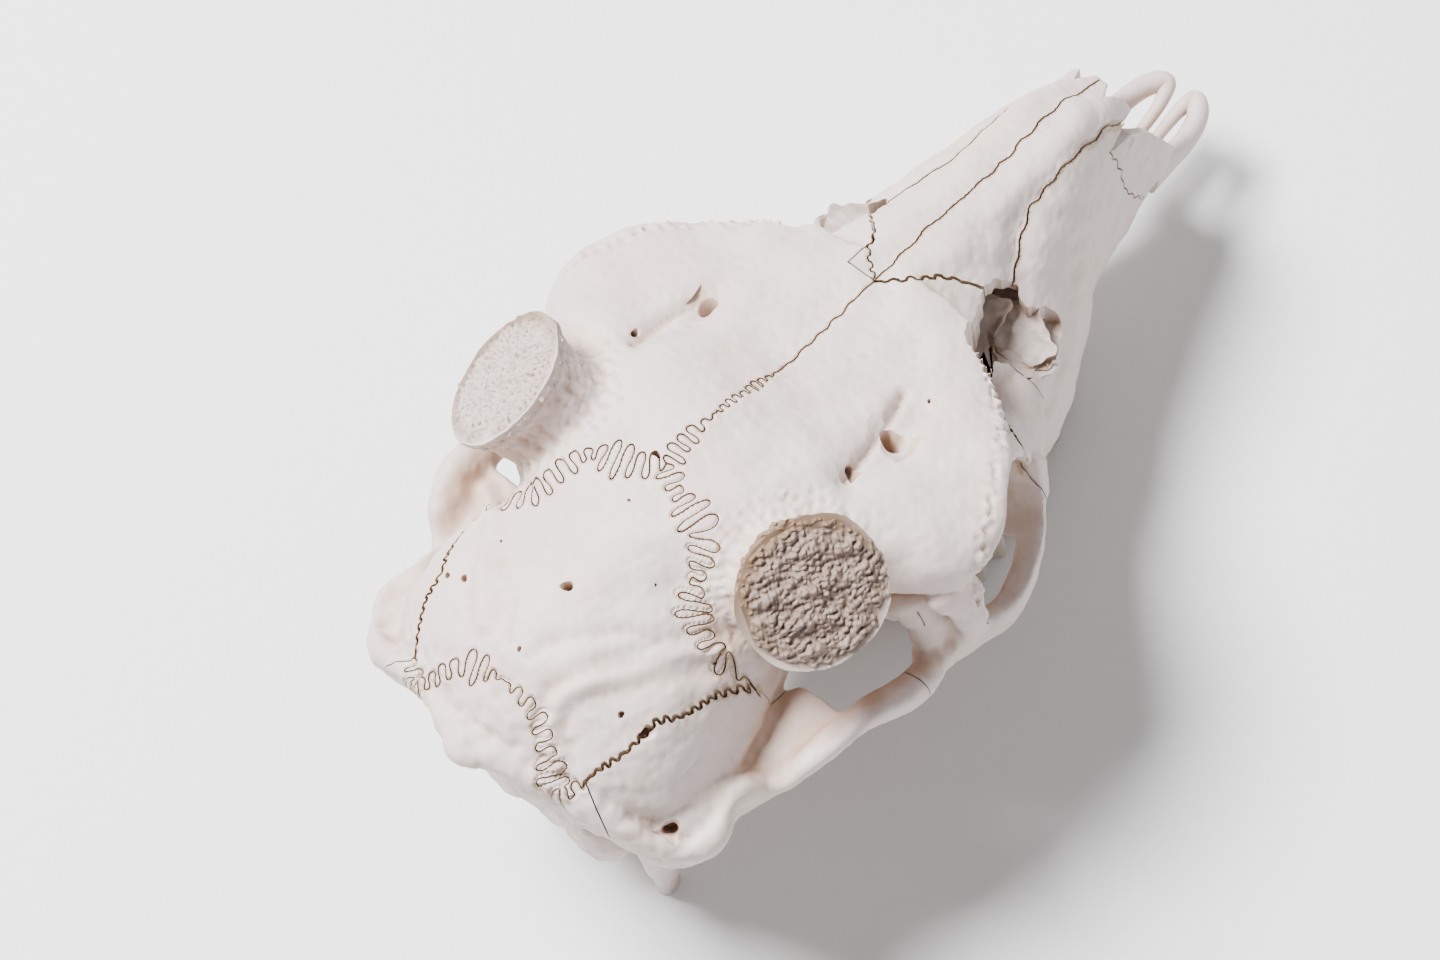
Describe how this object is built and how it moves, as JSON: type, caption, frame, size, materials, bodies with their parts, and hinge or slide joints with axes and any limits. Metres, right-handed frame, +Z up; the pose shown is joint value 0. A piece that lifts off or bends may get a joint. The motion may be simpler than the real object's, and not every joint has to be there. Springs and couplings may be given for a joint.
{
  "type": "deer skull",
  "caption": "Life-size deer skull of separate bones without lower jaw, with cast antler stumps, open nose, eye sockets and cheek arches, resting on its teeth.",
  "frame": {"origin": "middle of the skull's length on the middle plane, on the floor under the cheek teeth", "axes": "+X toward the nose, +Y to the animal's left, +Z up; the skull is its own mirror image across the plane Y = 0"},
  "size_m": [0.2652, 0.127, 0.143],
  "materials": {
    "ethmoid_left": "dry bone, matt",
    "ethmoid_right": "dry bone, matt",
    "frontal_left": "dry bone, matt",
    "frontal_right": "dry bone, matt",
    "lacrimal_left": "dry bone, matt",
    "lacrimal_right": "dry bone, matt",
    "maxilla_left": "dry bone, matt",
    "maxilla_right": "dry bone, matt",
    "nasal_left": "dry bone, matt",
    "nasal_right": "dry bone, matt",
    "palatine_left": "dry bone, matt",
    "palatine_right": "dry bone, matt",
    "premaxilla_left": "dry bone, matt",
    "premaxilla_right": "dry bone, matt",
    "temporal_left": "dry bone, matt",
    "temporal_right": "dry bone, matt",
    "zygomatic_left": "dry bone, matt",
    "zygomatic_right": "dry bone, matt",
    "occipital": "dry bone, matt",
    "parietal": "dry bone, matt",
    "sphenoid": "dry bone, matt"
  },
  "bodies": {
    "root": {"ethmoid_left": "ethmoid_left", "ethmoid_right": "ethmoid_right", "frontal_left": "frontal_left", "frontal_right": "frontal_right", "lacrimal_left": "lacrimal_left", "lacrimal_right": "lacrimal_right", "maxilla_left": "maxilla_left", "maxilla_right": "maxilla_right", "nasal_left": "nasal_left", "nasal_right": "nasal_right", "palatine_left": "palatine_left", "palatine_right": "palatine_right", "premaxilla_left": "premaxilla_left", "premaxilla_right": "premaxilla_right", "temporal_left": "temporal_left", "temporal_right": "temporal_right", "zygomatic_left": "zygomatic_left", "zygomatic_right": "zygomatic_right", "occipital": "occipital", "parietal": "parietal", "sphenoid": "sphenoid"}
  },
  "joints": []
}
